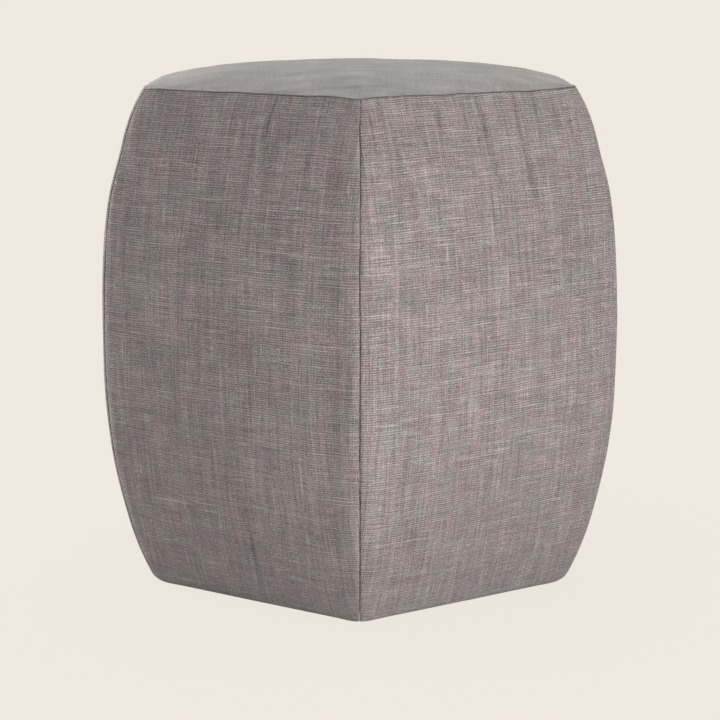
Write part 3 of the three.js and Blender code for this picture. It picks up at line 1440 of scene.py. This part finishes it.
    def _add_ring(self, piece: Piece, inset: float, height: float) -> None:
        """Extrudes the selected edge to one more ring, with its place on the cloth.

        Args:
            piece: the top.
            inset: how far the ring lies inside the rim, in metres.
            height: its height, in metres.
        """
        with edit_mode():
            bpy.ops.mesh.extrude_edges_move()
        chosen = chosen_of(piece)
        points = points_of(piece)
        edge = points[chosen]
        radius = np.hypot(edge[:, 0], edge[:, 1])
        reach = self._rim(edge) - inset
        edge[:, :2] *= (reach / radius)[:, None]
        inwards = 1 - inset / self.shape.stations[-1].corner / MM
        edge[:, 2] = height - inwards * self._corner_pull(edge, np.ones(len(edge)))[1]
        turned_under = self.shape.seam_height + self.lip - height + inset
        over = (reach + inset + turned_under) / radius
        across, up = cloth_places(piece)
        across[chosen], up[chosen] = points[chosen, 0] * over, points[chosen, 1] * over
        set_cloth_map(piece, across, up)
        points[chosen] = edge
        move_points(piece, points)


@dataclass
class BasePanel:
    """The flat cloth under the ottoman, with its edge rounded."""

    shape: BodyShape
    finish: bpy.types.Material
    thickness: float = 2 * MM
    gap: float = 0.3 * MM
    edge_round: float = 0.6 * MM
    edge_steps: int = 3
    sharpest: float = 40.0

    def build(self) -> Piece:
        """Makes the base cloth.

        Returns:
            The finished piece.
        """
        corner = (self.shape.recess_corner * COS_HALF - self.gap) / COS_HALF
        bpy.ops.mesh.primitive_cylinder_add(
            vertices=SIDES, radius=corner, depth=self.thickness, location=(0, 0, self.thickness / 2)
        )
        piece = bpy.context.object
        piece.name = "base"
        piece.data.name = piece.name
        bpy.ops.object.transform_apply(location=True, rotation=True, scale=True)
        with edit_mode():
            bpy.ops.mesh.select_all(action="SELECT")
            bpy.ops.mesh.bevel(offset=self.edge_round, segments=self.edge_steps, affect="EDGES")
        points = points_of(piece)
        set_cloth_map(piece, points[:, 0], points[:, 1])
        finish_cloth(piece, self.finish, self.sharpest)
        return piece


# ---- Studio --------------------------------------------------------------------------------------


@dataclass(frozen=True)
class AreaLamp:
    """A soft box: where it stands, its size, its power and what it points at."""

    name: str
    place: tuple[float, float, float]
    size: float
    power: float
    aim: tuple[float, float, float] = (0.0, 0.0, 0.22)

    def build(self) -> None:
        """Adds the lamp."""
        data = bpy.data.lights.new(self.name, "AREA")
        data.shape = "SQUARE"
        data.size = self.size
        data.energy = self.power
        lamp = bpy.data.objects.new(self.name, data)
        lamp.location = self.place
        lamp.rotation_mode = "QUATERNION"
        way = Vector(self.aim) - Vector(self.place)
        lamp.rotation_quaternion = way.to_track_quat("-Z", "Y")
        lamp.visible_camera = False
        bpy.context.collection.objects.link(lamp)


@dataclass
class Studio:
    """Camera, lamps, pale floor and pale surround.

    Lengths are in metres, but those of the lens and its sensor are in millimetres. The floor keeps
    its shadow within shadow_start of the middle, and shows none past shadow_reach.
    """

    pale: Rgb = linear(240, 233, 225)
    floor_half: float = 40.0
    floor_light: float = 0.06
    shadow_start: float = 0.24
    shadow_reach: float = 0.42
    bounce: float = 0.45
    surround: float = 0.12
    camera_distance: float = 1.594
    camera_height: float = 0.534
    camera_side: float = 0.25 * MM
    camera_tilt: float = 12.6
    focal_length: float = 89.6
    sensor_width: float = 36.0
    lamps: tuple[AreaLamp, ...] = (
        AreaLamp("key", (0.341, -0.936, 0.27), 0.5, 4.3),
        AreaLamp("fill", (0.797, -1.380, 0.34), 0.7, 6.7),
        AreaLamp("left", (-1.498, 0.545, 0.26), 0.7, 25.0),
        AreaLamp("upper_left", (-1.152, 0.419, 1.248), 0.7, 9.6),
        AreaLamp("overhead", (0.418, 0.152, 1.442), 0.7, 5.6),
        AreaLamp("back", (0.139, 1.218, 1.248), 0.7, 13.0),
    )

    def build(self) -> None:
        """Adds all of it."""
        self._camera()
        for lamp in self.lamps:
            lamp.build()
        self._surround()
        self._floor()
        bpy.context.scene.view_settings.view_transform = "Standard"

    def _camera(self) -> None:
        """Adds the camera: a long lens a little above the top, square to a corner seam."""
        data = bpy.data.cameras.new("camera")
        data.lens = self.focal_length
        data.sensor_width = self.sensor_width
        camera = bpy.data.objects.new("camera", data)
        camera.location = (self.camera_side, -self.camera_distance, self.camera_height)
        camera.rotation_euler = (math.radians(90 - self.camera_tilt), 0, 0)
        bpy.context.collection.objects.link(camera)
        bpy.context.scene.camera = camera

    @staticmethod
    def _seen(bench: NodeBench) -> Socket:
        """Finds the rays that show the background: from the camera, a gloss or a clear part.

        Args:
            bench: the bench of the floor or the surround.

        Returns:
            1 for those rays and 0 for the others.
        """
        path = bench.node("ShaderNodeLightPath").outputs
        shown = bench.math("MAXIMUM", path["Is Camera Ray"], path["Is Glossy Ray"])
        return bench.math("MAXIMUM", shown, path["Is Transmission Ray"])

    def _surround(self) -> None:
        """Adds even light from all round, with the pale colour behind the object."""
        world = bpy.data.worlds.new("surround")
        bpy.context.scene.world = world
        bench = NodeBench.cleared(world)
        light = {"Color": (1, 1, 1, 1), "Strength": self.surround}
        lit = bench.node("ShaderNodeBackground", light)
        shown = bench.node("ShaderNodeBackground", {"Color": (*self.pale, 1)})
        mixed = bench.mix(self._seen(bench), lit, shown)
        bench.node("ShaderNodeOutputWorld", {"Surface": mixed.outputs[0]})

    def _floor(self) -> None:
        """Adds a wide pale floor that keeps a faint shadow and is clear from below."""
        bpy.ops.object.select_all(action="DESELECT")
        bpy.ops.mesh.primitive_plane_add(size=2 * self.floor_half)
        floor = bpy.context.object
        floor.name = "floor"
        floor.data.materials.append(self._floor_material())

    def _floor_material(self) -> bpy.types.Material:
        """Makes the floor's material: partly its own even colour, partly lit by the lamps.

        Returns:
            The material.
        """
        made = bpy.data.materials.new("floor")
        bench = NodeBench.cleared(made)
        lit = bench.node("ShaderNodeBsdfDiffuse", {"Color": (*self.pale, 1)})
        even = bench.node("ShaderNodeEmission", {"Color": (*self.pale, 1)})
        place = bench.node("ShaderNodeTexCoord").outputs["Object"]
        reach = bench.node("ShaderNodeVectorMath", {0: place}, operation="LENGTH")
        near = bench.ease(reach.outputs["Value"], self.shadow_reach, self.shadow_start)
        shown = bench.mix(bench.math("MULTIPLY", near, self.floor_light), even, lit)
        dim = (*[c * self.bounce for c in self.pale], 1)
        dull = bench.node("ShaderNodeBsdfDiffuse", {"Color": dim})
        upper = bench.mix(self._seen(bench), dull, shown)
        clear = bench.node("ShaderNodeBsdfTransparent")
        below = bench.node("ShaderNodeNewGeometry").outputs["Backfacing"]
        sided = bench.mix(below, upper, clear)
        bench.node("ShaderNodeOutputMaterial", {"Surface": sided.outputs[0]})
        return made


# ---- Assembly ------------------------------------------------------------------------------------

RIGHT_CREASES = (
    Crease((1, 436), (11, 356), 3.0, 2.7, bow=2.0),
    Crease((36, 438), (47, 336), 3.2, 3.4, bow=2.5),
    Crease((46, 368), (52, 282), 4.0, 1.0),
    Crease((-15, 430), (-13, 400), 2.8, 1.4),
    Crease((-43, 426), (-34, 394), 4.2, 2.2),
    Crease((-103, 428), (-99, 384), 2.8, 2.0, bow=-1.5),
    Crease((-81, 398), (-62, 330), 3.2, -1.8, bow=-2.0),
    Crease((80, 426), (92, 372), 3.2, 1.5, bow=-2.0),
    Crease((60, 428), (72, 388), 3.0, -1.2),
    Crease((-8, 384), (6, 296), 5.0, -0.64, bow=2.0),
    Crease((18, 160), (28, 108), 5.0, 0.64, bow=-2.0),
    Crease((-71, 142), (-65, 52), 7.0, 0.8, bow=3.0),
    Crease((-104, 400), (-103, 20), 13.0, -0.8),
)
LEFT_CREASES = (
    Crease((30, 434), (25, 390), 2.8, 1.9, bow=1.0),
    Crease((-27, 430), (-22, 402), 2.6, -0.9),
    Crease((50, 427), (68, 374), 2.4, 0.72, bow=-2.0),
    Crease((63, 426), (84, 386), 2.4, 0.9, bow=-1.5),
    Crease((81, 426), (102, 388), 2.6, 0.9, bow=-1.5),
    Crease((-54, 424), (-34, 370), 4.0, 0.72, bow=-2.0),
    Crease((-13, 352), (-14, 296), 4.0, -0.72, bow=1.0),
    Crease((-22, 312), (-28, 236), 5.0, 0.8, bow=-2.0),
    Crease((10, 102), (13, 4), 3.4, 1.44, bow=-1.5),
    Crease((-80, 78), (-58, 26), 5.0, 0.96, bow=2.0),
    Crease((90, 395), (92, 60), 9.0, 1.6, bow=-9.0),
)
RIGHT_BACK_CREASES = (
    Crease((-64, 428), (-52, 370), 3.0, 1.26, bow=2.0),
    Crease((21, 429), (14, 388), 2.6, 1.08),
    Crease((78, 426), (90, 372), 3.2, 0.9, bow=-2.0),
    Crease((-34, 120), (-44, 40), 6.0, 0.8, bow=2.0),
)
BACK_RIGHT_CREASES = (
    Crease((-18, 430), (-30, 362), 2.8, 1.44, bow=-2.0),
    Crease((52, 428), (60, 384), 2.6, 1.08, bow=1.0),
    Crease((-86, 424), (-74, 380), 3.0, 0.9),
    Crease((40, 96), (52, 20), 5.0, 0.8, bow=-2.0),
)
BACK_LEFT_CREASES = (
    Crease((-48, 429), (-40, 372), 2.8, 1.44, bow=2.0),
    Crease((8, 430), (16, 398), 2.4, 0.9),
    Crease((70, 427), (56, 366), 3.0, 1.08, bow=-2.0),
    Crease((-20, 210), (-30, 130), 6.0, 0.64, bow=2.0),
)
LEFT_BACK_CREASES = (
    Crease((-30, 430), (-22, 386), 2.6, 1.26, bow=1.0),
    Crease((44, 429), (34, 360), 2.8, 1.44, bow=-2.0),
    Crease((92, 424), (80, 384), 3.0, 0.72),
    Crease((12, 110), (4, 18), 5.0, 0.8, bow=2.0),
)
SIDE_DRAPES: dict[int, Drape] = {
    1: Drape(RIGHT_CREASES, tilt=1.3, lift_left=3.2),
    2: Drape(RIGHT_BACK_CREASES, tilt=-0.6, lift_right=1.8),
    3: Drape(BACK_RIGHT_CREASES, tilt=0.4, lift_left=2.2),
    4: Drape(BACK_LEFT_CREASES, tilt=-0.8, lift_left=2.0, lift_right=1.4),
    5: Drape(LEFT_BACK_CREASES, tilt=0.7, lift_right=2.4),
    6: Drape(LEFT_CREASES, lift_right=3.2),
}
TOP_CREASES = (
    Crease((-60, -120), (-20, -70), 9.0, 0.6, bow=4.0),
    Crease((30, -150), (70, -60), 11.0, 0.5, bow=-5.0),
    Crease((-130, -40), (-60, 20), 12.0, 0.5, bow=6.0),
    Crease((90, 60), (20, 120), 12.0, 0.4, bow=-6.0),
    Crease((150, -30), (110, 50), 10.0, 0.5, bow=4.0),
    Crease((-80, 110), (-20, 60), 11.0, 0.4, bow=5.0),
)


def join_frame(piece: Piece, node: str) -> None:
    """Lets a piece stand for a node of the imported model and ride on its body.

    Args:
        piece: the finished piece.
        node: name of the node.
    """
    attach(piece, "root")
    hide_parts(node)
    LOG.info("%s: %d faces, for %s", piece.name, len(piece.data.polygons), node)


def main() -> None:
    """Builds the studio and every piece in order."""
    logging.basicConfig(level=logging.INFO, format="%(name)s: %(message)s")
    Studio().build()
    shape = BodyShape()
    linen = LINEN.material()
    for number, piece in enumerate(SidePanels(shape, linen, SIDE_DRAPES).build(), 1):
        join_frame(piece, f"side_panel_{number}")
    top = TopPanel(shape, TOP_LINEN_PAINTED_SHADE.material(), TOP_CREASES).build()
    join_frame(top, "top_panel")
    base = BasePanel(shape, BASE_CLOTH.material()).build()
    join_frame(base, "base_panel")


if __name__ == "__main__":
    main()
